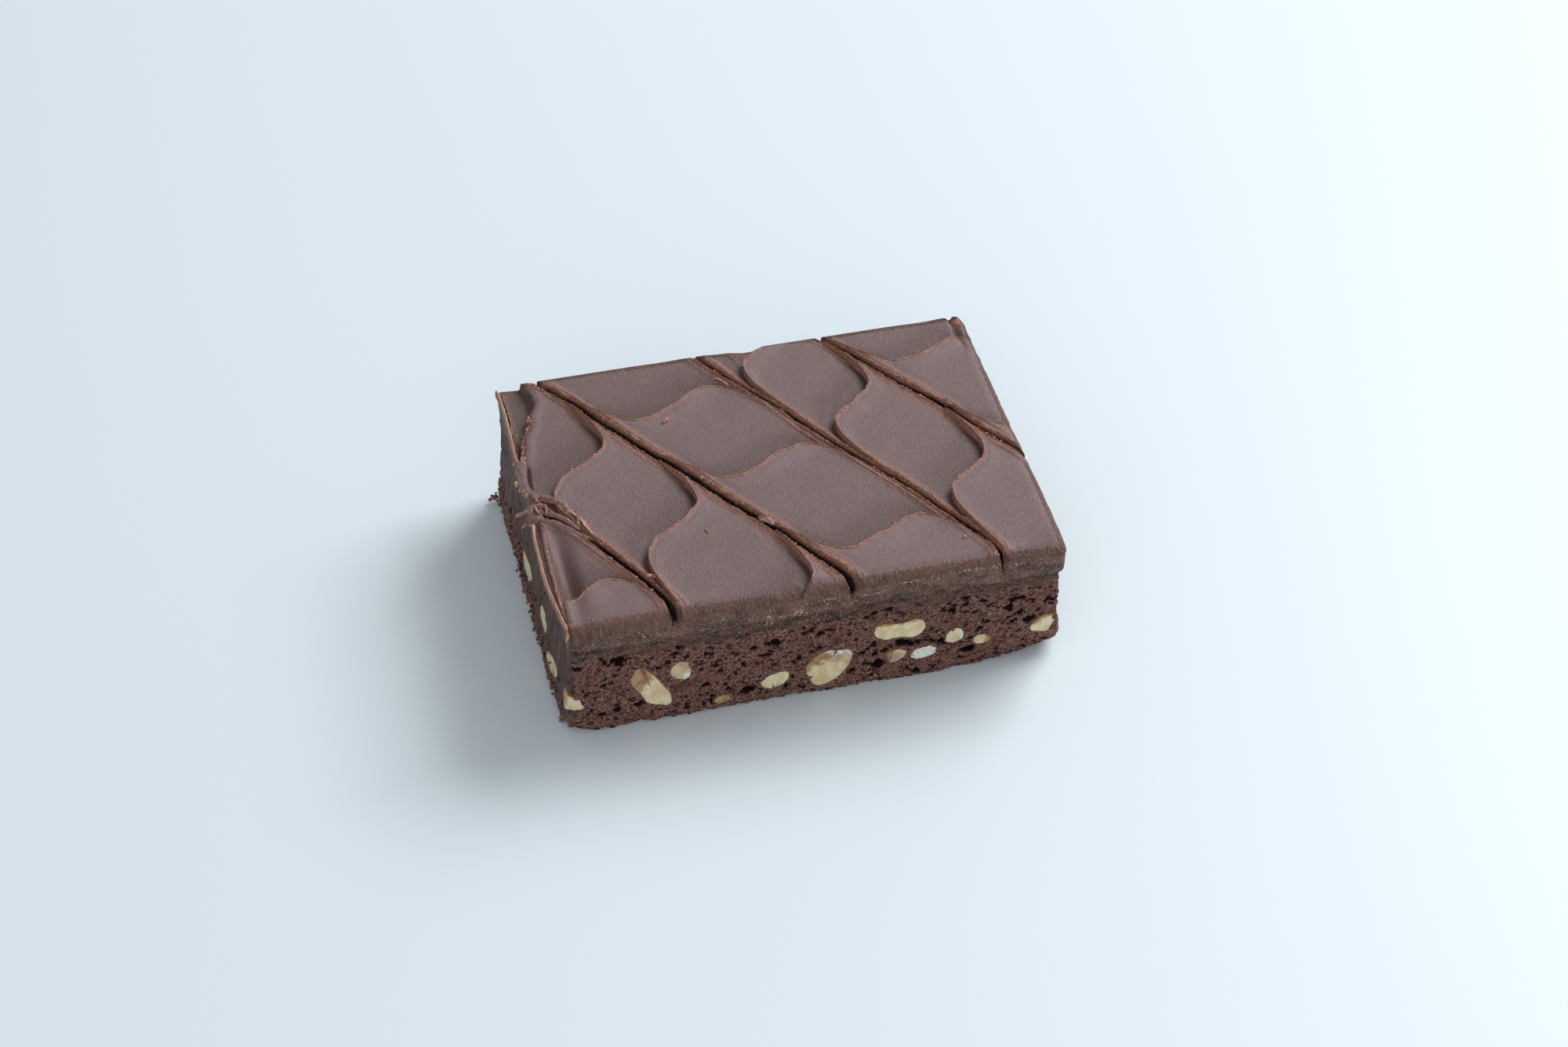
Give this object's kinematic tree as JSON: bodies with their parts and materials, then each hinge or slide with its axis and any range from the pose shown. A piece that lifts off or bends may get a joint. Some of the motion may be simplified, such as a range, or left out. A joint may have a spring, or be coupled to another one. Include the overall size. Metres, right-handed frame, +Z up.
{
  "type": "chocolate brownie",
  "caption": "Square-cut iced walnut brownie: a dark cake base with walnut pieces at its cut sides, under a thick layer of combed chocolate fudge icing.",
  "frame": {"origin": "centre of the brownie's outline, on the plane it stands on", "axes": "+X along the longer cut side, +Y towards the back cut side, +Z up out of the icing"},
  "size_m": [0.0985, 0.0719, 0.0286],
  "materials": {
    "cake_crumb": "open, moist dark chocolate crumb, fully matte",
    "fudge_icing": "set chocolate fudge icing with a soft satin skin and fine pitting",
    "walnut": "cut walnut flesh, waxy, with thin amber skin"
  },
  "bodies": {
    "root": {"cake": "cake_crumb", "icing": "fudge_icing", "walnut_back_1": "walnut", "walnut_back_2": "walnut", "walnut_back_3": "walnut", "walnut_corner": "walnut", "walnut_front_1": "walnut", "walnut_front_10": "walnut", "walnut_front_2": "walnut", "walnut_front_3": "walnut", "walnut_front_4": "walnut", "walnut_front_5": "walnut", "walnut_front_6": "walnut", "walnut_front_7": "walnut", "walnut_front_8": "walnut", "walnut_front_9": "walnut", "walnut_left_1": "walnut", "walnut_left_2": "walnut", "walnut_left_3": "walnut", "walnut_left_4": "walnut", "walnut_right_1": "walnut", "walnut_right_2": "walnut"}
  },
  "joints": []
}
